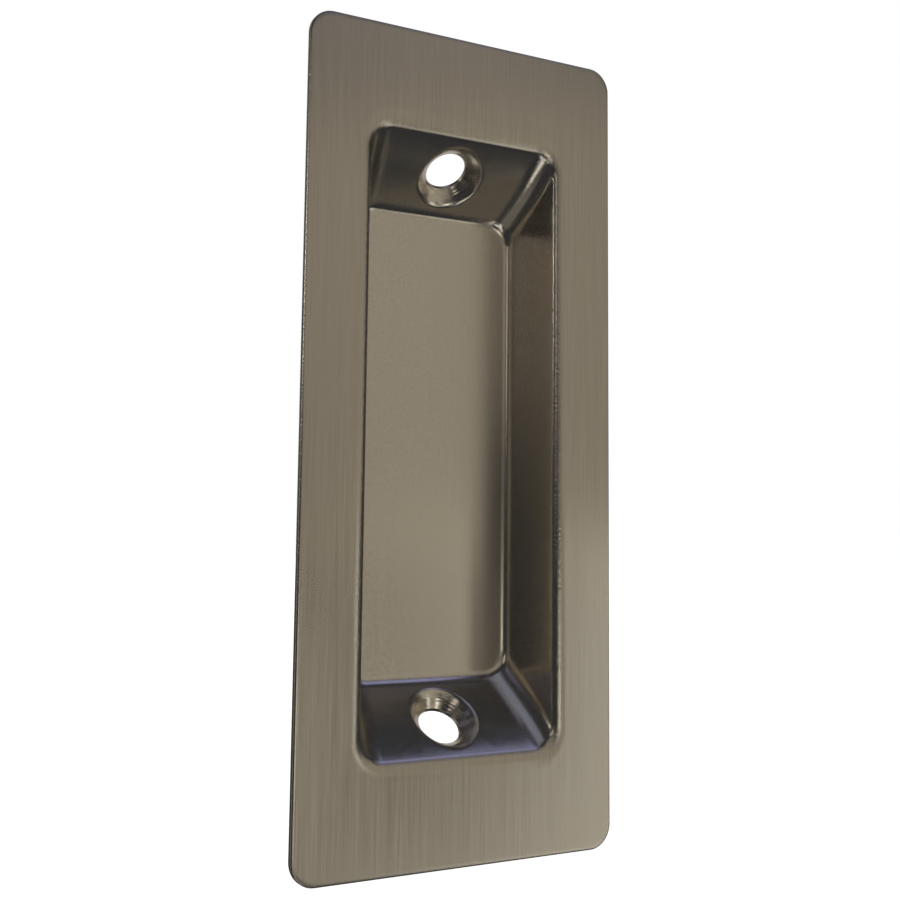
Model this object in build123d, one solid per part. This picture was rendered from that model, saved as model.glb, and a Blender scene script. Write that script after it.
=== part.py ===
from build123d import *
import math
import os

# Flush finger pull for a sliding or pocket door, drawn from one piece of sheet metal.
# +Z runs up the plate, +X to its right, and the flange's front faces -Y.
# The origin is the middle of the flange's back plane, which lies on the door.
# All lengths are in millimetres and all angles in degrees.

# Flat blank
plate_width = 44.0
plate_height = 102.0
plate_corner_radius = 3.0
sheet_thickness = 0.8
edge_round = 0.2

# Recess, measured on its front surface where the flat faces would meet
side_flange = 8.5
end_flange = 13.0
recess_depth = 9.1
side_draft = 9.5
end_slope = 41.3
recess_corner_radius = 2.6
mouth_bend_radius = 2.0
floor_bend_radius = 1.8

# Dimpled screw hole in the middle of each end wall
screw_hole_diameter = 5.4
countersink_angle = 82.0
countersink_depth = 1.8
countersink_lip_radius = 1.0
hole_land = 0.4

# How far a cutter starts ahead of the surface that it cuts
recess_cutter_lead = 1.0
dimple_cutter_lead = 0.3

# The three driving planes: the flange's front, and one across each pair of walls
front_plane = Plane(origin=(0, -sheet_thickness, 0), x_dir=(1, 0, 0), z_dir=(0, 1, 0))
side_wall_plane = Plane(origin=(0, -sheet_thickness, 0), x_dir=(1, 0, 0), z_dir=(0, 0, 1))
end_wall_section = Plane(origin=(0, -sheet_thickness, 0), x_dir=(0, 0, 1), z_dir=(-1, 0, 0))

half_mouth_width = plate_width / 2 - side_flange
half_mouth_height = plate_height / 2 - end_flange


def tangent(angle):
    """The tangent of an angle in degrees."""
    return math.tan(math.radians(angle))


def cosine(angle):
    """The cosine of an angle in degrees."""
    return math.cos(math.radians(angle))


def sine(angle):
    """The sine of an angle in degrees."""
    return math.sin(math.radians(angle))


def wall_prism(half_mouth, slope, offset, start, end, length, section_plane):
    """A long prism between two opposite walls of the recess, from one depth to another.

    Depths run back from the flange's front. The offset moves the walls out, square to themselves,
    from their front surface."""
    corners = []
    for depth, side in ((start, 1), (end, 1), (end, -1), (start, -1)):
        half_gap = half_mouth - depth * tangent(slope) + offset / cosine(slope)
        corners.append((side * half_gap, depth))
    outline = section_plane * make_face(Polyline(*corners, close=True))
    return extrude(outline, length, both=True)


def recess_block(start, end, offset):
    """A block that fills the recess between two depths, with its corners and floor edges rounded."""
    between_sides = wall_prism(
        half_mouth_width, side_draft, offset, start, end, plate_height, side_wall_plane
    )
    between_ends = wall_prism(
        half_mouth_height, end_slope, offset, start, end, plate_width, end_wall_section
    )
    block = between_sides & between_ends
    half_depth = (end - start) / 2
    corners = [edge for edge in block.edges() if abs((edge @ 1 - edge @ 0).Y) > half_depth]
    block = fillet(corners, recess_corner_radius + offset)
    floor = block.faces().sort_by(Axis.Y)[-1]
    return fillet(floor.edges(), floor_bend_radius + offset)


def flat_blank():
    """The flat plate with rounded corners and slightly rounded front edges."""
    outline = front_plane * RectangleRounded(plate_width, plate_height, plate_corner_radius)
    blank = extrude(outline, sheet_thickness)
    front = blank.faces().sort_by(Axis.Y)[0]
    return fillet(front.edges(), edge_round)


def mouth_edges(body, plane_y):
    """The edges where the recess leaves the flange's flat face at plane_y."""
    flats = body.faces().filter_by(Plane.XZ)
    flange = flats.sort_by(lambda flat: abs(flat.center().Y - plane_y))[0]
    return flange.inner_wires()[0].edges()


def drawn_sheet():
    """The blank drawn into the recess, as thick in its walls and bends as in its flange."""
    outside = recess_block(sheet_thickness / 2, recess_depth + sheet_thickness, sheet_thickness)
    inside = recess_block(-recess_cutter_lead, recess_depth, 0)
    body = flat_blank() + outside
    body = fillet(mouth_edges(body, 0), mouth_bend_radius - sheet_thickness)
    body = body - inside
    return fillet(mouth_edges(body, -sheet_thickness), mouth_bend_radius)


def end_wall_middle(side):
    """The plane on the middle of an end wall's front surface, facing out of the recess.

    Side is 1 for the upper wall and -1 for the lower one."""
    middle_depth = recess_depth / 2
    height = half_mouth_height - middle_depth * tangent(end_slope)
    origin = (0, middle_depth - sheet_thickness, side * height)
    out_of_recess = (0, -sine(end_slope), -side * cosine(end_slope))
    return Plane(origin=origin, x_dir=(1, 0, 0), z_dir=out_of_recess)


def countersink_radius(depth):
    """The radius of the countersink at a depth below the wall's front surface."""
    return screw_hole_diameter / 2 + (countersink_depth - depth) * tangent(countersink_angle / 2)


def dimple_back_radius(depth):
    """The radius of the dimple's back surface at a depth below the wall's front surface."""
    return countersink_radius(depth) + sheet_thickness / cosine(countersink_angle / 2)


def turned(outline):
    """A solid turned about the Z axis from an outline of (radius, depth) points."""
    points = [(radius, 0, -depth) for radius, depth in outline]
    return revolve(make_face(Polyline(*points, close=True)), Axis.Z)


def dimple_back():
    """The sheet that the dimple pushes back, up to the cut edge round the hole.

    The cut edge is straight for the hole's land, and then square to the cone."""
    half_angle = countersink_angle / 2
    hole_radius = screw_hole_diameter / 2
    land_end = countersink_depth + hole_land
    square_edge = sheet_thickness - hole_land * sine(half_angle)
    rim_radius = hole_radius + square_edge * cosine(half_angle)
    rim_depth = land_end + square_edge * sine(half_angle)
    start = sheet_thickness / 2
    shoulder = (dimple_back_radius(start), start)
    return turned([(0, start), shoulder, (rim_radius, rim_depth), (hole_radius, land_end), (0, land_end)])


def dimple_hollow():
    """The countersink and the hole through its bottom."""
    hole_radius = screw_hole_diameter / 2
    start = -dimple_cutter_lead
    through = countersink_depth + hole_land + sheet_thickness
    cone = [(0, start), (countersink_radius(start), start), (hole_radius, countersink_depth)]
    return turned(cone + [(hole_radius, through), (0, through)])


def circles_of_radius(body, radius):
    """The round edges of one radius, where a dimple's cone meets its wall."""
    same = 0.001
    circles = body.edges().filter_by(GeomType.CIRCLE)
    return [circle for circle in circles if abs(circle.radius - radius) < same]


def pull_plate():
    """The whole pull: the drawn sheet with a dimpled screw hole in each end wall."""
    body = drawn_sheet()
    for side in (1, -1):
        place = end_wall_middle(side).location
        body = body + place * dimple_back() - place * dimple_hollow()
    back_lips = circles_of_radius(body, dimple_back_radius(sheet_thickness))
    body = fillet(back_lips, countersink_lip_radius - sheet_thickness)
    front_lips = circles_of_radius(body, countersink_radius(0))
    return fillet(front_lips, countersink_lip_radius)


os.makedirs("parts", exist_ok=True)
export_step(pull_plate(), "parts/pull_plate.step")
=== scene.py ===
import bpy
import math
import mathutils
import numpy as np
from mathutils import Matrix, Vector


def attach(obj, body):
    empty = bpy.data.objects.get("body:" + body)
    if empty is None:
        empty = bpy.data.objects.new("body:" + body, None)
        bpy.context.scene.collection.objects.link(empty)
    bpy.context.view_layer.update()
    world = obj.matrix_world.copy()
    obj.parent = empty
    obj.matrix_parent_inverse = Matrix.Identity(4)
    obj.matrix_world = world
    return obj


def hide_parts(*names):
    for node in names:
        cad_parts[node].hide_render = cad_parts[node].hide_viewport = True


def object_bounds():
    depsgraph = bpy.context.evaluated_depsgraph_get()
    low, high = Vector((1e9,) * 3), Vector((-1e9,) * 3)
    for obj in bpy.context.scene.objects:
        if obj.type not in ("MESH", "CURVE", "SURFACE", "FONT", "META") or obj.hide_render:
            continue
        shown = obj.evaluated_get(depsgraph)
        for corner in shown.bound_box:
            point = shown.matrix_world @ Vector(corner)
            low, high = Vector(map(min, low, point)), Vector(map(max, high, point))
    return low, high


# Flush finger pull for a sliding or pocket door, drawn from one piece of sheet metal.
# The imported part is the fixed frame. Lengths are in millimetres, and go into Blender in metres.
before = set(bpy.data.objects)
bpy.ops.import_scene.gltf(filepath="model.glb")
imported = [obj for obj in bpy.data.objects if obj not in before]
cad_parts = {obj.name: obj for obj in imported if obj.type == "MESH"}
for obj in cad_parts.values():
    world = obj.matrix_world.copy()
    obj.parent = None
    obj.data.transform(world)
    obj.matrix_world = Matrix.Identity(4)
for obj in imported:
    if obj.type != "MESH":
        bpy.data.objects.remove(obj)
cad_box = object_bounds()
MM = 0.001

# Sizes of the sheet in millimetres and degrees, as the CAD source has them. The lip radius is that of
# the dimple's back.
PLATE_WIDTH = 44.0
PLATE_HEIGHT = 102.0
PLATE_CORNER_RADIUS = 3.0
SHEET_THICKNESS = 0.8
EDGE_ROUND = 0.2
SIDE_FLANGE = 8.5
END_FLANGE = 13.0
RECESS_DEPTH = 9.1
SIDE_DRAFT = 9.5
END_SLOPE = 41.3
SCREW_HOLE_DIAMETER = 5.4
COUNTERSINK_ANGLE = 82.0
COUNTERSINK_DEPTH = 1.8
COUNTERSINK_LIP_RADIUS = 1.0
HOLE_LAND = 0.4

# The recess's corners and bends as the photograph shows them, softer at the ends than at the sides.
# A bend's reach is how far it goes from the line where the flat faces would meet, on either face.
# The CAD source has round bends instead: 2.6 at the corners, 2.0 at the mouth and 1.8 at the floor.
MOUTH_CORNER_RADIUS = 3.0
FLOOR_CORNER_RADIUS = 3.6
MOUTH_REACH_ON_FLANGE = (1.9, 1.6)
MOUTH_REACH_ON_WALL = (0.9, 0.9)
FLOOR_REACH_ON_WALL = (1.2, 1.1)
FLOOR_REACH_ON_FLOOR = (0.8, 1.0)

# The end walls are a little bowed: their mouth and foot stand out from the flat wall by this much.
MOUTH_BOW = 0.62
FOOT_BOW = 0.2

# The bow fades out on the flange: how far outside the mouth it starts to, and over what length.
BOW_FADE_START = 3.5
BOW_FADE_LENGTH = 7.5

# Small forms that the press and the polishing leave, in millimetres. The dimple's front lip is a soft
# bend with a reach on the wall and on the cone, and its back lip is a round.
BACK_EDGE_ROUND = 0.06
CONE_TOE_ROUND = 0.25
LIP_REACH_ON_WALL = 0.4
LIP_REACH_ON_CONE = 1.1
HOLE_RIM_ROUND = 0.08
DRAW_IN_DEPTH = 0.015
DRAW_IN_REACH = 1.6

# The square window in an end wall that holds a dimple: half its width, and its least margin
PATCH_HALF_WIDTH = 5.2
DIMPLE_MARGIN = 0.05

# How finely each stretch of the surface is divided
PATCH_STEPS = 24
END_STEPS = 5
CORNER_STEPS = 22
SIDE_STEPS = 14
PLATE_CORNER_STEPS = 12
BEND_STEPS = 16
FLOOR_BEND_STEPS = 12
LIP_STEPS = 12
DIMPLE_ROUND_STEPS = (5, 3, 3, 5)
EDGE_ROUND_STEPS = 5
BACK_EDGE_STEPS = 3

# Rows on the floor, as shares of the way from its middle to its bend, and on the flange, in
# millimetres outside the mouth's bend and then as shares of the rest of the way to the plate's edge
FLOOR_ROWS = (0.0, 0.3, 0.6, 0.85, 0.975, 1.0)
FLANGE_ROWS = (0.2, 0.45, 0.8, 1.2, 1.7, 2.3, 3.0, 3.8)
OUTER_FLANGE_ROWS = (0.35, 0.7, 0.94, 1.0)

FRONT = -SHEET_THICKNESS
FLOOR = RECESS_DEPTH - SHEET_THICKNESS
HALF_WIDTH = PLATE_WIDTH / 2
HALF_HEIGHT = PLATE_HEIGHT / 2
HOLE_DEPTH = RECESS_DEPTH / 2
HOLE_HEIGHT = HALF_HEIGHT - END_FLANGE - HOLE_DEPTH * math.tan(math.radians(END_SLOPE))
TOWARDS_VIEWER = np.array([0.0, -1.0, 0.0])

# The nickel's finish: its colours, roughness and sideways sheen. The recess's colour is lighter than the
# flange's: painted light, standing in for the brighter light on the recess. The nickel's marks make the
# colour darker or lighter by a share, and shift the roughness. Nearly all of a noise's values lie in the
# noise range.
FLANGE_NICKEL = "#CEC7BD"
RECESS_NICKEL_PAINTED_LIGHTER = "#E2DBD0"
PIT_COLOUR = "#5A5248"
BRUSHED_ROUGHNESS = 0.25
WALL_ROUGHNESS = 0.2
BRUSHED_SHEEN = 0.6
MARK_SHADE = 0.09
MARK_ROUGHNESS = 0.02
NOISE_RANGE = (0.25, 0.75)

# The recess's finish, with its painted lighter colour, starts and is complete at these depths below the
# flange, and the floor's finish at these heights above the floor
RECESS_FINISH_AND_PAINTED_LIGHT = (0.2, 0.9)
FLOOR_FINISH = (0.25, 0.01)

# Brush lines: real ones are 0.02 to 0.05 mm wide, and these are drawn wider so that they show. Broader
# bands are mixed in, and on the map of the lines v moves by a share of the depth.
LINE_WIDTH = 0.3
LINE_LENGTH = 14.0
LINE_DEPTH = 0.0012
BAND_WIDTH = 1.4
BAND_LENGTH = 60.0
BAND_SHARE = 0.3
GRAIN_SHARE_OF_DEPTH = 0.3

# Grain of the drawn metal: real size about 0.1 mm, drawn coarser so that it shows. It makes up a share
# of the floor's marks, and it is deeper, or open, on the mouth's side bends. There its depth rises from
# its start below the flange, and fades before its end.
PEEL_WIDTH = 0.36
PEEL_DEPTH = 0.0006
PEEL_SHARE_ON_FLOOR = 0.8
OPEN_GRAIN_DEPTH = 0.04
OPEN_GRAIN_START = 0.02
OPEN_GRAIN_RISE = 0.05
OPEN_GRAIN_END = 0.9
OPEN_GRAIN_FADE = 0.5

# Rings turned by the countersink: real size about 0.1 mm, drawn coarser so that they show. They fade
# out between these two distances from the hole's axis.
TURNING_WIDTH = 0.3
TURNING_DEPTH = 0.05
TURNED_RADIUS = (3.5, 3.9)

# Pits: real ones are about half as wide. Each cell of the pattern has a random number, and those below
# the share have none. A pit slopes from its rim to its bottom, both as shares of its width.
PIT_SPACING = 5.0
PIT_WIDTH = 0.3
PIT_DEPTH = 0.02
PIT_SLOPE = (0.5, 0.2)
SHARE_WITHOUT_PIT = 0.72

# The photograph's viewpoint, worked out from the plate's corners and the screw holes: the place in
# metres, the angles in degrees, the lens in millimetres, and the shift that the framing needs
CAMERA_PLACE = (-0.074615, -0.125211, -0.008965)
CAMERA_TURN = -26.728
CAMERA_TILT = 5.990
CAMERA_ROLL = 1.016
LENS_LENGTH = 46.954
LENS_SHIFT = (0.0778, -0.0689)
SENSOR_WIDTH = 36.0

# The studio: how far its lights are from the pull and its floor reaches, in metres, and how bright the
# room is beside a white of 1
SOFTBOX_DISTANCE = 0.8
STUDIO_FLOOR_RADIUS = 3.0
STUDIO_FLOOR_SIDES = 96
ROOM_BRIGHTNESS = 0.038


def sine(angle):
    """The sine of an angle in degrees."""
    return math.sin(math.radians(angle))


def cosine(angle):
    """The cosine of an angle in degrees."""
    return math.cos(math.radians(angle))


def tangent(angle):
    """The tangent of an angle in degrees."""
    return math.tan(math.radians(angle))


def unit(vectors):
    """Each vector divided by its own length."""
    return vectors / np.linalg.norm(vectors, axis=-1, keepdims=True)


def turn_between(start, end, share):
    """Unit vectors on the arc from start to end.

    With w the angle between them: (sin((1 - share) w) start + sin(share w) end) / sin w."""
    angle = np.arccos(np.clip((start * end).sum(-1, keepdims=True), -1, 1))
    return (np.sin((1 - share) * angle) * start + np.sin(share * angle) * end) / np.sin(angle)


def ease(share):
    """Runs from 0 to 1 with no slope at either end: 3 s^2 - 2 s^3."""
    share = np.clip(share, 0, 1)
    return share * share * (3 - 2 * share)


def rounded_corner(inset, radius, angles):
    """Points of the corner of a rounded rectangle, inset from the mouth's flat-to-flat lines.

    Each point is the arc's centre plus the radius along its outward direction."""
    x = HALF_WIDTH - SIDE_FLANGE - inset * tangent(SIDE_DRAFT) - radius + radius * np.cos(angles)
    z = HALF_HEIGHT - END_FLANGE - inset * tangent(END_SLOPE) - radius + radius * np.sin(angles)
    return np.stack([x, np.full_like(x, FRONT + inset), z], -1)


def recess_corner():
    """Stations round the recess's corner, from its end wall to its side wall.

    The mouth's and the floor's lines have arcs of their own radius. A straight line joins the points
    of one outward direction, so the wall between them is part of a cone, and its normal is fixed along
    each line. Returns the mouth's points, the floor's points, the wall's normals and the four reaches
    of the bends, which ease from the end's to the side's."""
    turn = np.linspace(0, 1, CORNER_STEPS + 1)
    angles = (1 - turn) * math.pi / 2
    mouth = rounded_corner(0.0, MOUTH_CORNER_RADIUS, angles)
    floor = rounded_corner(RECESS_DEPTH, FLOOR_CORNER_RADIUS, angles)
    outward = np.stack([np.cos(angles), np.zeros_like(angles), np.sin(angles)], -1)
    inwards = ((mouth - floor) * outward).sum(-1, keepdims=True)
    normals = -unit(outward * RECESS_DEPTH - inwards * TOWARDS_VIEWER)
    pairs = (MOUTH_REACH_ON_FLANGE, MOUTH_REACH_ON_WALL, FLOOR_REACH_ON_WALL, FLOOR_REACH_ON_FLOOR)
    reaches = np.stack([end + (side - end) * ease(turn) for end, side in pairs], -1)
    return mouth, floor, normals, reaches


def quarter_stations():
    """Stations round one quarter of the recess, from the top's middle to the right side's middle.

    Returns the mouth's points, the floor's points, the points on the plate's outline, the wall's
    normals, the outward directions on the outline, and the bends' reaches, with a row for each station.
    Along a straight wall the points move evenly and the rest is fixed. The columns beside the screw
    hole are at the tangents of even angles, so that a square of them morphs into an evenly divided
    circle."""
    beside_hole = PATCH_HALF_WIDTH * np.tan(np.linspace(0, math.pi / 4, PATCH_STEPS // 2 + 1))[:-1]
    along_end = np.linspace(0, 1, END_STEPS + 1)[:-1]
    along_side = np.linspace(1, 0, SIDE_STEPS + 1)[1:]
    ends = len(beside_hole) + len(along_end)

    def still(corner):
        first = np.repeat(corner[:1], ends, axis=0)
        last = np.repeat(corner[-1:], len(along_side), axis=0)
        return np.concatenate([first, corner, last])

    def moving(corner):
        beyond = PATCH_HALF_WIDTH + along_end * (corner[0, 0] - PATCH_HALF_WIDTH)
        line = still(corner)
        line[:ends, 0] = np.concatenate([beside_hole, beyond])
        line[-len(along_side):, 2] = along_side * corner[-1, 2]
        return line

    mouth_corner, floor_corner, normals, reaches = recess_corner()
    mouth = moving(mouth_corner)
    floor = moving(floor_corner)
    normals = still(normals)
    reaches = still(reaches)

    # The outline: straight above the end wall, then along the edge, round its corner and down its side
    arc = np.linspace(0, math.pi / 2, PLATE_CORNER_STEPS + 1)
    arc_x = HALF_WIDTH - PLATE_CORNER_RADIUS + PLATE_CORNER_RADIUS * np.sin(arc)
    arc_z = HALF_HEIGHT - PLATE_CORNER_RADIUS + PLATE_CORNER_RADIUS * np.cos(arc)
    edge_steps = (CORNER_STEPS - PLATE_CORNER_STEPS) // 2
    top_x = np.linspace(mouth_corner[0, 0], arc_x[0], edge_steps + 1)[:-1]
    side_z = np.linspace(arc_z[-1], mouth_corner[-1, 2], edge_steps + 1)[1:]
    on_top = ends + edge_steps
    on_side = edge_steps + len(along_side)
    x = np.concatenate([mouth[:ends, 0], top_x, arc_x, np.full(on_side, HALF_WIDTH)])
    z = np.concatenate([np.full(on_top, HALF_HEIGHT), arc_z, side_z, mouth[-len(along_side):, 2]])
    angle = np.concatenate([np.zeros(on_top), arc, np.full(on_side, math.pi / 2)])
    outline = np.stack([x, np.zeros_like(x), z], -1)
    outward = np.stack([np.sin(angle), np.zeros_like(x), np.cos(angle)], -1)
    return mouth, floor, outline, normals, outward, reaches


def all_round(quarter):
    """A quarter's stations mirrored into all four quarters, in one ring without repeats.

    Points and directions change sign in x and z, and the reaches stay."""
    flips = quarter.shape[1] == 3
    flip_x = np.array([-1.0, 1.0, 1.0]) if flips else 1.0
    flip_z = np.array([1.0, 1.0, -1.0]) if flips else 1.0
    return np.concatenate(
        [
            quarter[:-1],
            (quarter * flip_z)[:0:-1],
            (quarter * flip_x * flip_z)[:-1],
            (quarter * flip_x)[:0:-1],
        ]
    )


def draw_in(outward_distance):
    """How far the drawing pulled the flange back at a distance outside the mouth's bend.

    A bell shape: depth * exp(-(distance / reach)^2)."""
    return DRAW_IN_DEPTH * np.exp(-((outward_distance / DRAW_IN_REACH) ** 2))


def bend_rows(start, corner, end, start_normal, end_normal, start_reach, end_reach, steps, thickness):
    """Rows of points round a bend: a quadratic curve from start to end that aims at the corner.

    With s from 0 to 1 it is (1 - s)^2 start + 2 s (1 - s) corner + s^2 end, less the thickness along
    the normal, which is (1 - s) start_reach start_normal + s end_reach end_normal made a unit."""
    rows = []
    for s in np.linspace(0, 1, steps + 1)[1:]:
        point = (1 - s) ** 2 * start + 2 * s * (1 - s) * corner + s * s * end
        normal = unit((1 - s) * start_reach * start_normal + s * end_reach * end_normal)
        rows.append(point - thickness * normal)
    return rows


def wall_ends(mouth, floor, normals, reaches):
    """Where the flat wall starts above the floor's bend, and where it ends below the mouth's."""
    outward = unit(normals * np.array([-1.0, 0.0, -1.0]))
    upright_share = (-normals * outward).sum(-1, keepdims=True) / RECESS_DEPTH
    start = floor + reaches[:, 2:3] * upright_share * (mouth - floor)
    end = mouth + reaches[:, 1:2] * upright_share * (floor - mouth)
    return start, end


def surface_of_sheet(mouth, floor, outline, normals, outward, reaches, side):
    """Rows of points across the sheet from the floor's middle to the plate's edge, at each station.

    Side is 0 for the front surface and 1 for the back one. Flat rows are straight lines, bends are
    quadratic curves, and the back surface is the front one moved by the sheet's thickness against
    the normal."""
    thickness = side * SHEET_THICKNESS
    viewer = np.broadcast_to(TOWARDS_VIEWER, normals.shape)
    away = -unit(normals * np.array([1.0, 0.0, 1.0]))
    wall_start, wall_end = wall_ends(mouth, floor, normals, reaches)
    on_flange, on_wall, above_floor, on_floor = (reaches[:, i : i + 1] for i in range(4))
    rows = []

    # Floor: from a line up its middle out to the bend
    contact = floor - on_floor * away
    top = np.abs(contact[:, 2]).max() - np.abs(contact[:, 0]).max()
    spine = np.stack([0 * contact[:, 0], contact[:, 1], np.clip(contact[:, 2], -top, top)], -1)
    for share in FLOOR_ROWS:
        rows.append(spine + share * (contact - spine) - thickness * viewer)

    # Floor bend, from the floor to the wall
    rows += bend_rows(
        contact, floor, wall_start, viewer, normals, on_floor, above_floor, FLOOR_BEND_STEPS, thickness
    )

    # Wall, with its rows at the tangents of even angles
    for angle in np.linspace(-math.pi / 4, math.pi / 4, PATCH_STEPS + 1)[1:]:
        share = (1 + math.tan(angle)) / 2
        rows.append(wall_start + share * (wall_end - wall_start) - thickness * normals)

    # Mouth bend, from the wall to the flange, and the flange's slight fall towards it
    back = -viewer
    contact = mouth + on_flange * away
    bend = bend_rows(
        wall_end, mouth, contact, normals, viewer, on_wall, on_flange, BEND_STEPS, thickness
    )
    for row, share in zip(bend, np.linspace(0, 1, BEND_STEPS + 1)[1:]):
        rows.append(row + draw_in(0.0) * ease(share) * back)

    # Flange, out to the plate's edge
    contact = contact - thickness * viewer
    for distance in FLANGE_ROWS:
        rows.append(contact + distance * away + draw_in(distance) * back)
    start = rows[-1]
    margin = BACK_EDGE_ROUND if side else EDGE_ROUND
    level = 0.0 if side else FRONT
    end = outline - margin * outward + level * back
    for share in OUTER_FLANGE_ROWS:
        rows.append(start + share * (end - start))
    return np.stack(rows, 1)


def edge_of_plate(outline, outward):
    """Rows down the plate's edge from front to back: a round, a straight cut face, a smaller round."""
    back = -TOWARDS_VIEWER
    rows = []
    for angle in np.linspace(0, 90, EDGE_ROUND_STEPS + 1)[1:]:
        inset = EDGE_ROUND * (1 - sine(angle))
        rows.append(outline - inset * outward + (FRONT + EDGE_ROUND * (1 - cosine(angle))) * back)
    for angle in np.linspace(0, 90, BACK_EDGE_STEPS + 1)[:-1]:
        inset = BACK_EDGE_ROUND * (1 - cosine(angle))
        rows.append(outline - inset * outward - BACK_EDGE_ROUND * (1 - sine(angle)) * back)
    return np.stack(rows, 1)


def rounded_profile(corners, radii, steps):
    """Points of a polyline whose corners are rounded, as an (n, 2) array.

    A corner with the angle w between its legs gets an arc that starts radius / tan(w / 2) before it."""
    points = [np.array(corners[:1])]
    for before, corner, after, radius, count in zip(corners, corners[1:], corners[2:], radii, steps):
        back = unit(np.subtract(before, corner))
        on = unit(np.subtract(after, corner))
        half = math.acos(float(np.clip(back @ on, -1, 1))) / 2
        centre = np.array(corner) + unit(back + on) * radius / math.sin(half)
        first = unit(corner + back * radius / math.tan(half) - centre)
        last = unit(corner + on * radius / math.tan(half) - centre)
        share = np.linspace(0, 1, count + 1)[:, None]
        points.append(centre + radius * turn_between(first, last, share))
    points.append(np.array(corners[-1:]))
    return np.concatenate(points)


def dimple_profile():
    """The dimple's section as (radius, depth) points, from the front wall through the hole to the back.

    The lip is a quadratic curve from the wall into the cone, the hole's wall is straight for its land,
    the cut edge is square to the cone, and the back runs up again at the sheet's thickness."""
    half_angle = COUNTERSINK_ANGLE / 2
    hole = SCREW_HOLE_DIAMETER / 2
    lip = hole + COUNTERSINK_DEPTH * tangent(half_angle)
    land_end = COUNTERSINK_DEPTH + HOLE_LAND
    cut = SHEET_THICKNESS - HOLE_LAND * sine(half_angle)
    rim = (hole + cut * cosine(half_angle), land_end + cut * sine(half_angle))
    back_lip = lip - SHEET_THICKNESS * tangent(half_angle) + SHEET_THICKNESS / cosine(half_angle)
    outside = lip + COUNTERSINK_LIP_RADIUS * tangent((90 - half_angle) / 2) + DIMPLE_MARGIN
    share = np.linspace(0, 1, LIP_STEPS + 1)[:, None]
    on_wall = np.array([lip + LIP_REACH_ON_WALL, 0.0])
    at_lip = np.array([lip, 0.0])
    on_cone = at_lip + LIP_REACH_ON_CONE * np.array([-sine(half_angle), cosine(half_angle)])
    lip_bend = (1 - share) ** 2 * on_wall + 2 * share * (1 - share) * at_lip + share**2 * on_cone
    corners = [
        tuple(on_cone),
        (hole, COUNTERSINK_DEPTH),
        (hole, land_end),
        rim,
        (back_lip, SHEET_THICKNESS),
        (outside, SHEET_THICKNESS),
    ]
    radii = (
        CONE_TOE_ROUND,
        HOLE_RIM_ROUND,
        HOLE_RIM_ROUND,
        COUNTERSINK_LIP_RADIUS - SHEET_THICKNESS,
    )
    rest = rounded_profile(corners, radii, DIMPLE_ROUND_STEPS)
    return np.concatenate([[[outside, 0.0]], lip_bend[:-1], rest])


def dimple(wall_start, wall_end, normal, upright):
    """Rings of points from a square window in an end wall, through the dimple, to the window's back.

    Each ring has its points at the same even angles. The first and last lie on the window's edge, and
    the others are circles of the profile's radius at the profile's depth against the normal."""
    angles = (np.arange(4 * PATCH_STEPS) / PATCH_STEPS - 0.5) * math.pi / 2
    direction = np.stack([np.cos(angles), np.sin(angles)], -1)
    square = direction / np.abs(direction).max(-1, keepdims=True)
    across = np.array([1.0, 0.0, 0.0])
    up = unit(wall_end - wall_start)
    middle = (wall_start + wall_end) / 2
    half_length = np.linalg.norm(wall_end - wall_start) / 2
    window = middle + PATCH_HALF_WIDTH * square[:, :1] * across + half_length * square[:, 1:] * up
    centre = np.array([0.0, FRONT + HOLE_DEPTH, upright * HOLE_HEIGHT])
    outwards = direction[:, :1] * across + direction[:, 1:] * up
    rings = [window]
    for radius, below in dimple_profile():
        rings.append(centre + radius * outwards - below * normal)
    rings.append(window - SHEET_THICKNESS * normal)
    return np.stack(rings, 1)


def bowed(points):
    """The points with the end walls bowed, about the middle of their depth, where the screw holes are.

    z grows by bow * (depth / hole's depth - 1)^2 * z / (the hole's height), where the bow is the mouth's
    above the hole's depth and the foot's below it. It fades out on the flange, outside the mouth."""
    share = (points[:, 1] - FRONT) / HOLE_DEPTH - 1
    outside_mouth = np.abs(points[:, 2]) - (HALF_HEIGHT - END_FLANGE)
    kept = 1 - ease((outside_mouth - BOW_FADE_START) / BOW_FADE_LENGTH)
    bow = np.where(share < 0, MOUTH_BOW, FOOT_BOW) * share**2 * kept
    moved = points.copy()
    moved[:, 2] += bow * points[:, 2] / HOLE_HEIGHT
    return moved


def grid_faces(stations, rows, first):
    """Quads of a grid that closes on itself along its stations, as an array of (station, row, 4)."""
    here = first + np.arange(stations)[:, None] * rows + np.arange(rows - 1)
    there = first + ((np.arange(stations) + 1) % stations)[:, None] * rows + np.arange(rows - 1)
    return np.stack([here, there, there + 1, here + 1], -1)


def places_and_normals(mesh):
    """Each vertex's place in millimetres and its normal, as two arrays with three columns."""
    places = np.empty(3 * len(mesh.vertices), np.float32)
    mesh.vertices.foreach_get("co", places)
    normals = np.empty(3 * len(mesh.vertices), np.float32)
    mesh.vertex_normals.foreach_get("vector", normals)
    return places.reshape(-1, 3) / MM, normals.reshape(-1, 3)


def add_point_map(mesh, name, values):
    """An attribute with one number for each vertex."""
    attribute = mesh.attributes.new(name, "FLOAT", "POINT")
    attribute.data.foreach_set("value", values.astype(np.float32))


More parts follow.
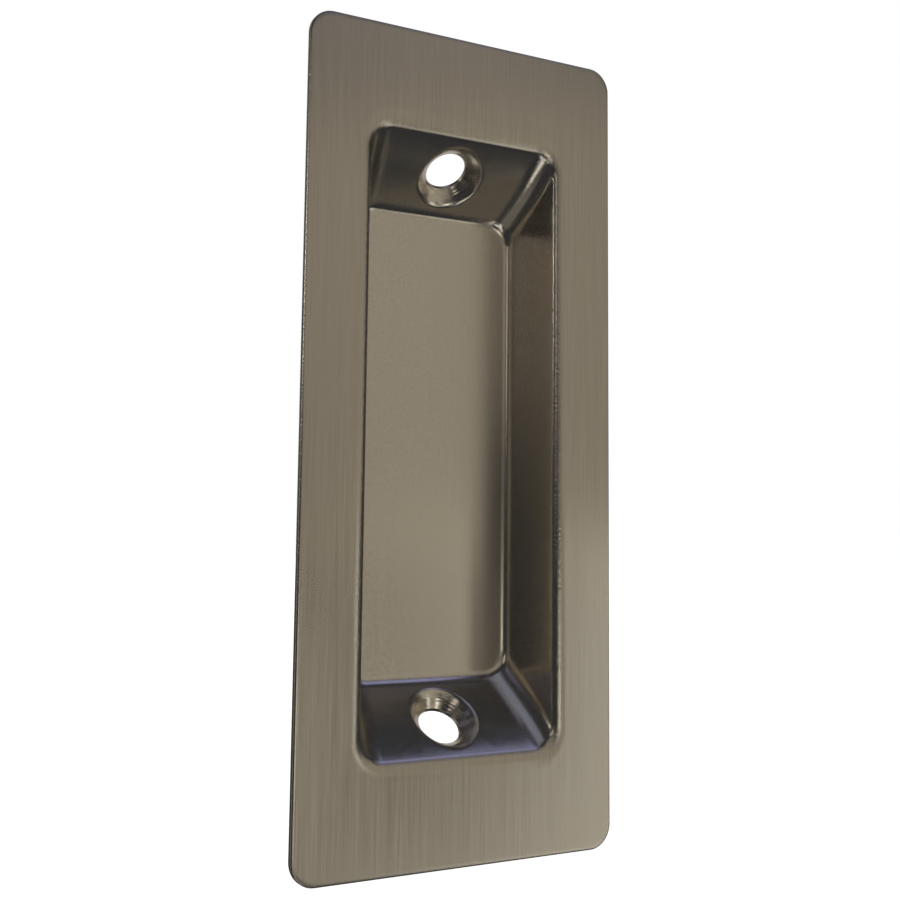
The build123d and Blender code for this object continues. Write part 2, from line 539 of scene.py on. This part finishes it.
def add_grain_map(mesh):
    """A UV map of the brushing: u runs across the upright grain and v along it.

    With n the sideways part of the normal, u is x plus n^2 times a depth measured from the floor in
    the deeper half of the recess and from the flange in the other half, so that it keeps moving down
    the side walls. v is z plus a share of y, so that it keeps moving on the plate's ends."""
    corners = np.empty(len(mesh.loops), np.int32)
    mesh.loops.foreach_get("vertex_index", corners)
    sizes = np.empty(len(mesh.polygons), np.int32)
    mesh.polygons.foreach_get("loop_total", sizes)
    middles = np.empty(3 * len(mesh.polygons), np.float32)
    mesh.polygons.foreach_get("center", middles)
    middle = np.repeat(middles.reshape(-1, 3), sizes, axis=0) / MM
    places, normals = places_and_normals(mesh)
    x, y, z = places[corners].T
    steep = normals[corners, 0] ** 2
    deep = middle[:, 1] > (FRONT + FLOOR) / 2
    outside = np.abs(middle[:, 0]) > HALF_WIDTH - 2 * EDGE_ROUND
    depth = np.where(deep, FLOOR - y, FRONT - y) * np.where(outside, -1, 1)
    u = x + np.sign(middle[:, 0]) * steep * depth
    uv = np.stack([u, z + GRAIN_SHARE_OF_DEPTH * y], -1) / PLATE_HEIGHT + 0.5
    mesh.uv_layers.new(name="grain").uv.foreach_set("vector", uv.astype(np.float32).ravel())


def add_turning_map(mesh):
    """An attribute of how far each point is from the axis of the nearer screw hole, in millimetres.

    It is the length of the part of (point - hole's centre) that is square to the end wall's normal."""
    x, y, z = places_and_normals(mesh)[0].T
    from_centre = np.stack([x, y - FRONT - HOLE_DEPTH, np.abs(z) - HOLE_HEIGHT], -1)
    axis = np.array([0.0, sine(END_SLOPE), cosine(END_SLOPE)])
    across = from_centre - (from_centre @ axis)[:, None] * axis
    add_point_map(mesh, "from_hole_axis", np.linalg.norm(across, axis=1))


def add_side_bend_map(mesh):
    """An attribute that is 1 on the bends of the mouth's two sides and fades to 0 round them.

    With e the function ease and d the depth below the flange, it is e((d - start) / rise) times
    e((end - d) / fade) times 3 |n| limited to 1, where n is the sideways part of the normal."""
    places, normals = places_and_normals(mesh)
    below = places[:, 1] - FRONT
    steep = np.clip(3 * np.abs(normals[:, 0]), 0, 1)
    starts = ease((below - OPEN_GRAIN_START) / OPEN_GRAIN_RISE)
    ends = ease((OPEN_GRAIN_END - below) / OPEN_GRAIN_FADE)
    add_point_map(mesh, "side_bend", starts * ends * steep)


def merged_mesh(name, points, faces):
    """A mesh of the points and quads, with points at one place merged and collapsed corners dropped."""
    rounded = np.round(points, 5)
    kept, index = np.unique(rounded, axis=0, return_index=True, return_inverse=True)[1:]
    faces = index.ravel()[faces]
    same = faces == np.roll(faces, -1, axis=1)
    quads = faces[~same.any(1)]
    thin = faces[same.sum(1) == 1]
    triangles = thin[~same[same.sum(1) == 1]].reshape(-1, 3)
    mesh = bpy.data.meshes.new(name)
    mesh.from_pydata((points[kept] * MM).tolist(), [], quads.tolist() + triangles.tolist())
    mesh.update()
    mesh.validate()
    mesh.shade_smooth()
    add_grain_map(mesh)
    add_turning_map(mesh)
    add_side_bend_map(mesh)
    return mesh


def pull_plate():
    """The drawn sheet as one closed surface: front, plate edge and back in one grid, and two dimples."""
    ring = [all_round(part) for part in quarter_stations()]
    mouth, floor, outline, normals, outward, reaches = ring
    wall_start, wall_end = wall_ends(mouth, floor, normals, reaches)
    front = surface_of_sheet(*ring, 0)
    back = surface_of_sheet(*ring, 1)
    edge = edge_of_plate(outline, outward)
    sheet = np.concatenate([front, edge, back[:, ::-1]], 1)
    stations, rows = sheet.shape[:2]
    faces = grid_faces(stations, rows, 0)

    # The windows for the dimples are left out of the walls' faces
    half = PATCH_STEPS // 2
    first_row = len(FLOOR_ROWS) + FLOOR_BEND_STEPS - 1
    wall_rows = np.arange(first_row, first_row + PATCH_STEPS)
    wall_rows = np.concatenate([wall_rows, rows - 2 - wall_rows])
    keep = np.ones(faces.shape[:2], bool)
    bottom = stations // 2
    for middle in (0, bottom):
        columns = (middle + np.arange(-half, half)) % stations
        keep[np.ix_(columns, wall_rows)] = False

    points = [sheet.reshape(-1, 3)]
    quads = [faces[keep]]
    for station, upright in ((0, 1), (bottom, -1)):
        rings = dimple(wall_start[station], wall_end[station], normals[station], upright)
        patch = grid_faces(*rings.shape[:2], sum(map(len, points))).reshape(-1, 4)
        quads.append(patch if upright > 0 else patch[:, ::-1])
        points.append(rings.reshape(-1, 3))
    return merged_mesh("pull_sheet", bowed(np.concatenate(points)), np.concatenate(quads))


def linear(hex_colour):
    """An sRGB hex colour as linear red, green, blue and an alpha of 1."""
    values = [int(hex_colour[i : i + 2], 16) / 255 for i in (1, 3, 5)]
    return [v / 12.92 if v <= 0.04045 else ((v + 0.055) / 1.055) ** 2.4 for v in values] + [1.0]


def node(tree, kind, settings=None, **links):
    """Adds a node, sets its settings and values, and links the sockets that are given as sockets.

    A value is named for its socket in small letters, or for the socket's number, such as _2."""
    made = tree.nodes.new(kind)
    for key, value in (settings or {}).items():
        setattr(made, key, value)
    for key, value in links.items():
        names = [s.name.lower().replace(" ", "_") for s in made.inputs]
        socket = made.inputs[names.index(key)] if key in names else made.inputs[int(key[1:])]
        if isinstance(value, bpy.types.NodeSocket):
            tree.links.new(value, socket)
        else:
            socket.default_value = value
    return made


def satin_nickel():
    """Satin nickel: steel sheet brushed upright, drawn to shape and nickel plated.

    To the eye it is a warm grey metal whose sheen spreads sideways. The flange has fine upright brush
    lines. The drawn recess is more grainy, with smoother walls, and the grain sparkles along its sides.
    Its colour is painted lighter, standing in for the brighter light on it. The countersinks have turned
    rings, and here and there is a tiny pit."""
    material = bpy.data.materials.new("satin_nickel_brushed")
    material.use_nodes = True
    tree = material.node_tree
    tree.nodes.clear()
    place = node(tree, "ShaderNodeTexCoord").outputs["Object"]
    grain_map = node(tree, "ShaderNodeUVMap", {"uv_map": "grain"}).outputs[0]
    y = node(tree, "ShaderNodeSeparateXYZ", vector=place).outputs[1]

    # Where the surface is: recess grows to 1 down the mouth's bend, and on_floor is 1 on the flat floor
    recess = node(
        tree,
        "ShaderNodeMapRange",
        {"interpolation_type": "SMOOTHSTEP"},
        value=y,
        from_min=(FRONT + RECESS_FINISH_AND_PAINTED_LIGHT[0]) * MM,
        from_max=(FRONT + RECESS_FINISH_AND_PAINTED_LIGHT[1]) * MM,
    ).outputs[0]
    on_floor = node(
        tree,
        "ShaderNodeMapRange",
        {"interpolation_type": "SMOOTHSTEP"},
        value=y,
        from_min=(FLOOR - FLOOR_FINISH[0]) * MM,
        from_max=(FLOOR - FLOOR_FINISH[1]) * MM,
    ).outputs[0]
    drawn = node(tree, "ShaderNodeMath", {"operation": "SUBTRACT"}, _0=recess, _1=on_floor).outputs[0]

    # Fine brush lines with broader bands among them
    fine_size = (PLATE_HEIGHT / LINE_WIDTH, PLATE_HEIGHT / LINE_LENGTH, 1.0)
    fine_place = node(tree, "ShaderNodeMapping", vector=grain_map, scale=fine_size).outputs[0]
    fine = node(
        tree, "ShaderNodeTexNoise", vector=fine_place, scale=1.0, detail=1.0, roughness=0.6
    ).outputs[0]
    broad_size = (PLATE_HEIGHT / BAND_WIDTH, PLATE_HEIGHT / BAND_LENGTH, 1.0)
    broad_place = node(tree, "ShaderNodeMapping", vector=grain_map, scale=broad_size).outputs[0]
    broad = node(tree, "ShaderNodeTexNoise", vector=broad_place, scale=1.0, detail=1.0).outputs[0]
    lines = node(tree, "ShaderNodeMix", factor=BAND_SHARE, _2=fine, _3=broad).outputs[0]

    # Grain of the drawn metal
    peel = node(
        tree, "ShaderNodeTexNoise", vector=place, scale=1 / (PEEL_WIDTH * MM), detail=2.0
    ).outputs[0]

    # Rings that the countersink left round the screw holes
    from_axis = node(tree, "ShaderNodeAttribute", {"attribute_name": "from_hole_axis"}).outputs["Fac"]
    rings = node(
        tree,
        "ShaderNodeTexNoise",
        {"noise_dimensions": "1D"},
        w=from_axis,
        scale=1 / TURNING_WIDTH,
        detail=1.0,
    ).outputs[0]
    turned = node(
        tree,
        "ShaderNodeMapRange",
        {"interpolation_type": "SMOOTHSTEP"},
        value=from_axis,
        from_min=TURNED_RADIUS[1],
        from_max=TURNED_RADIUS[0],
    ).outputs[0]
    ridges = node(tree, "ShaderNodeMath", {"operation": "MULTIPLY"}, _0=rings, _1=turned).outputs[0]

    # Pits: a few of the pattern's cells have one, where the cell's middle is close to the surface
    cells = node(tree, "ShaderNodeTexVoronoi", vector=place, scale=1 / (PIT_SPACING * MM))
    chosen = node(tree, "ShaderNodeSeparateColor", color=cells.outputs["Color"]).outputs[0]
    rare = node(
        tree, "ShaderNodeMath", {"operation": "GREATER_THAN"}, _0=chosen, _1=SHARE_WITHOUT_PIT
    ).outputs[0]
    near = node(
        tree,
        "ShaderNodeMapRange",
        value=cells.outputs["Distance"],
        from_min=PIT_SLOPE[0] * PIT_WIDTH / PIT_SPACING,
        from_max=PIT_SLOPE[1] * PIT_WIDTH / PIT_SPACING,
    ).outputs[0]
    pit = node(tree, "ShaderNodeMath", {"operation": "MULTIPLY"}, _0=rare, _1=near).outputs[0]

    # Marks: brush lines on the flange, grain on the walls, and some of both on the floor
    both = node(tree, "ShaderNodeMix", factor=PEEL_SHARE_ON_FLOOR, _2=lines, _3=peel).outputs[0]
    in_recess = node(tree, "ShaderNodeMix", factor=on_floor, _2=peel, _3=both).outputs[0]
    mark = node(tree, "ShaderNodeMix", factor=recess, _2=lines, _3=in_recess).outputs[0]

    # Colour: the recess is painted lighter than the flange, standing in for the brighter light on it.
    # The marks make it a little darker or lighter, and the pits are dark.
    flange_colour = linear(FLANGE_NICKEL)
    recess_colour_painted_lighter = linear(RECESS_NICKEL_PAINTED_LIGHTER)
    tone_with_painted_light = node(
        tree, "ShaderNodeMix", {"data_type": "RGBA"}, _0=recess, _6=flange_colour, _7=recess_colour_painted_lighter
    ).outputs[2]
    shade = node(
        tree,
        "ShaderNodeMapRange",
        value=mark,
        from_min=NOISE_RANGE[0],
        from_max=NOISE_RANGE[1],
        to_min=1 - MARK_SHADE,
        to_max=1 + MARK_SHADE,
    ).outputs[0]
    shaded = node(
        tree, "ShaderNodeVectorMath", {"operation": "SCALE"}, vector=tone_with_painted_light, scale=shade
    ).outputs[0]
    colour = node(
        tree, "ShaderNodeMix", {"data_type": "RGBA"}, _0=pit, _6=shaded, _7=linear(PIT_COLOUR)
    ).outputs[2]

    # Roughness: brushed on the flange and the floor, burnished where the sheet slid over the tool
    smooth = node(
        tree, "ShaderNodeMix", factor=drawn, _2=BRUSHED_ROUGHNESS, _3=WALL_ROUGHNESS
    ).outputs[0]
    spread = node(
        tree,
        "ShaderNodeMapRange",
        value=mark,
        from_min=NOISE_RANGE[0],
        from_max=NOISE_RANGE[1],
        to_min=-MARK_ROUGHNESS,
        to_max=MARK_ROUGHNESS,
    ).outputs[0]
    rough = node(tree, "ShaderNodeMath", {"operation": "ADD"}, _0=smooth, _1=spread).outputs[0]

    # Along the mouth's side bends the grain was pulled open, and it sparkles
    side = node(tree, "ShaderNodeAttribute", {"attribute_name": "side_bend"}).outputs["Fac"]
    grain_depth = node(
        tree, "ShaderNodeMapRange", value=side, to_min=PEEL_DEPTH * MM, to_max=OPEN_GRAIN_DEPTH * MM
    ).outputs[0]

    # Height: the brush lines, the grain, the rings and the pits
    brushed = node(
        tree, "ShaderNodeBump", height=lines, strength=1.0, distance=LINE_DEPTH * MM
    ).outputs[0]
    grained = node(
        tree, "ShaderNodeBump", height=peel, strength=1.0, distance=grain_depth, normal=brushed
    ).outputs[0]
    ringed = node(
        tree, "ShaderNodeBump", height=ridges, strength=1.0, distance=TURNING_DEPTH * MM, normal=grained
    ).outputs[0]
    dented = node(
        tree,
        "ShaderNodeBump",
        {"invert": True},
        height=pit,
        strength=1.0,
        distance=PIT_DEPTH * MM,
        normal=ringed,
    ).outputs[0]
    across = node(
        tree, "ShaderNodeTangent", {"direction_type": "UV_MAP", "uv_map": "grain"}
    ).outputs[0]
    shader = node(
        tree,
        "ShaderNodeBsdfPrincipled",
        base_color=colour,
        metallic=1.0,
        roughness=rough,
        anisotropic=BRUSHED_SHEEN,
        normal=dented,
        tangent=across,
    )
    node(tree, "ShaderNodeOutputMaterial", surface=shader.outputs[0])
    return material


def softbox(name, azimuth, elevation, width, height, brightness, colour):
    """A rectangular studio light that faces the pull from a distance of SOFTBOX_DISTANCE.

    The azimuth is in degrees from straight in front towards the right, and the elevation upwards. The
    width and height are the angles it fills as the pull sees it, and the power is pi times its area
    times its brightness."""
    towards = mathutils.Vector(
        (sine(azimuth) * cosine(elevation), -cosine(azimuth) * cosine(elevation), sine(elevation))
    )
    light = bpy.data.lights.new(name, "AREA")
    light.shape = "RECTANGLE"
    light.size = 2 * SOFTBOX_DISTANCE * tangent(width / 2)
    light.size_y = 2 * SOFTBOX_DISTANCE * tangent(height / 2)
    light.energy = math.pi * light.size * light.size_y * brightness
    light.color = linear(colour)[:3]
    lamp = bpy.data.objects.new(name, light)
    lamp.location = towards * SOFTBOX_DISTANCE
    lamp.rotation_euler = towards.to_track_quat("Z", "Y").to_euler()
    lamp.visible_camera = False
    bpy.context.scene.collection.objects.link(lamp)


def studio_lights():
    """Soft lights where the reflections in the photograph show them, and three behind the pull."""
    # In front on the right: what the flat faces reflect, brighter towards its low end
    softbox("front_right", 38, 10, 48, 26, 0.32, "#FFF4DC")
    softbox("front_right_low", 42, -15, 8, 26, 1.25, "#FFFCED")
    softbox("front_right_top", 30, 26, 14, 8, 0.24, "#FFF2E4")
    softbox("front_right_foot", 30, -24, 14, 6, 0.5, "#FFFCED")
    softbox("front_low", 14, -13, 46, 23, 0.19, "#FFF0D2")
    softbox("front_lamp", 8, -13, 8, 14, 1.8, "#FFFAF0")

    # In front and on the left, above the pull's middle: a pale wall, a narrow lamp and a dim wall
    softbox("wall_middle", 0, 17, 28, 26, 0.23, "#FFF4DF")
    softbox("lamp_left", -35, 15, 8, 20, 1.1, "#FFF4E4")
    softbox("wall_left", -63, 16, 42, 20, 0.04, "#FFF6EA")

    # From below: what the upper end wall and the floor's bend reflect
    softbox("low_strip", -12, -45, 6, 33, 1.7, "#FFFCEB")
    softbox("low_middle", 7, -46, 10, 8, 1.8, "#EDF0FF")
    softbox("low_left", -60, -63, 27, 32, 0.12, "#FFF3DF")
    softbox("low_right", 75, -48, 22, 20, 0.06, "#FFEFCC")

    # From above: the bluish light of a window, which the lower end wall reflects
    softbox("window_high", 45, 45, 24, 17, 0.5, "#C0C5FF")
    softbox("window_low", 35, 31, 38, 10, 0.15, "#FFF8F0")
    softbox("overhead", -10, 75, 28, 42, 0.24, "#D8DFFF")

    # A bright lamp on the left, and three large lights behind the pull, which show its back
    softbox("side_left", -94, 13, 18, 8, 4.5, "#FFFBF1")
    softbox("behind", 172, 25, 40, 60, 0.4, "#FFF8EE")
    softbox("behind_right", 128, 0, 50, 80, 0.4, "#FFF8EE")
    softbox("behind_left", -125, 0, 30, 80, 0.3, "#FFF8EE")


def pull_camera():
    """The photograph's viewpoint: left of the pull, a little below its middle, close to it."""
    lens = bpy.data.cameras.new("photo_view")
    lens.sensor_width = SENSOR_WIDTH
    lens.lens = LENS_LENGTH
    lens.shift_x, lens.shift_y = LENS_SHIFT
    lens.clip_start = 0.01
    lens.clip_end = 20.0
    camera = bpy.data.objects.new("photo_view", lens)
    turn = mathutils.Matrix.Rotation(math.radians(CAMERA_TURN), 4, "Z")
    tilt = mathutils.Matrix.Rotation(math.radians(90 + CAMERA_TILT), 4, "X")
    roll = mathutils.Matrix.Rotation(math.radians(CAMERA_ROLL), 4, "Z")
    place = mathutils.Matrix.Translation(CAMERA_PLACE)
    camera.matrix_world = place @ turn @ tilt @ roll
    bpy.context.scene.collection.objects.link(camera)
    bpy.context.scene.camera = camera


def world_light():
    """A dim even room for the metal to reflect, and white behind the object for the camera."""
    world = bpy.data.worlds.new("studio")
    bpy.context.scene.world = world
    world.use_nodes = True
    tree = world.node_tree
    tree.nodes.clear()
    room = node(tree, "ShaderNodeBackground", color=linear("#F1F7FF"), strength=ROOM_BRIGHTNESS)
    white = node(tree, "ShaderNodeBackground", color=linear("#FFFFFF"), strength=1.0)
    seen = node(tree, "ShaderNodeLightPath")
    mix = node(
        tree,
        "ShaderNodeMixShader",
        _0=seen.outputs["Is Camera Ray"],
        _1=room.outputs[0],
        _2=white.outputs[0],
    )
    node(tree, "ShaderNodeOutputWorld", surface=mix.outputs[0])


def studio_floor():
    """A pale glowing floor that the pull stands on: a round sheet far wider than the view.

    The metal doesn't reflect it, so that the lights alone shade the pull."""
    angles = np.linspace(0, 2 * math.pi, STUDIO_FLOOR_SIDES + 1)[:-1]
    level = cad_box[0].z
    circle = STUDIO_FLOOR_RADIUS * np.stack([np.cos(angles), np.sin(angles)], -1)
    ring = np.concatenate([circle, np.full((len(angles), 1), level)], 1)
    mesh = bpy.data.meshes.new("studio_floor")
    mesh.from_pydata(ring.tolist(), [], [list(range(len(ring)))])
    floor = bpy.data.objects.new("studio_floor", mesh)
    bpy.context.scene.collection.objects.link(floor)
    floor.visible_glossy = False
    floor.visible_diffuse = False
    material = bpy.data.materials.new("white_light_table")
    material.use_nodes = True
    tree = material.node_tree
    tree.nodes.clear()
    paint = node(tree, "ShaderNodeBsdfDiffuse", color=linear("#F4F4F2"))
    glow = node(tree, "ShaderNodeEmission", color=linear("#FFFFFF"), strength=1.0)
    both = node(tree, "ShaderNodeAddShader", _0=paint.outputs[0], _1=glow.outputs[0])
    node(tree, "ShaderNodeOutputMaterial", surface=both.outputs[0])
    mesh.materials.append(material)


plate = bpy.data.objects.new("pull_sheet", pull_plate())
bpy.context.scene.collection.objects.link(plate)
plate.data.materials.append(satin_nickel())
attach(plate, "root")
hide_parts("pull_plate")

studio_floor()
studio_lights()
world_light()
pull_camera()
bpy.context.scene.view_settings.view_transform = "Standard"
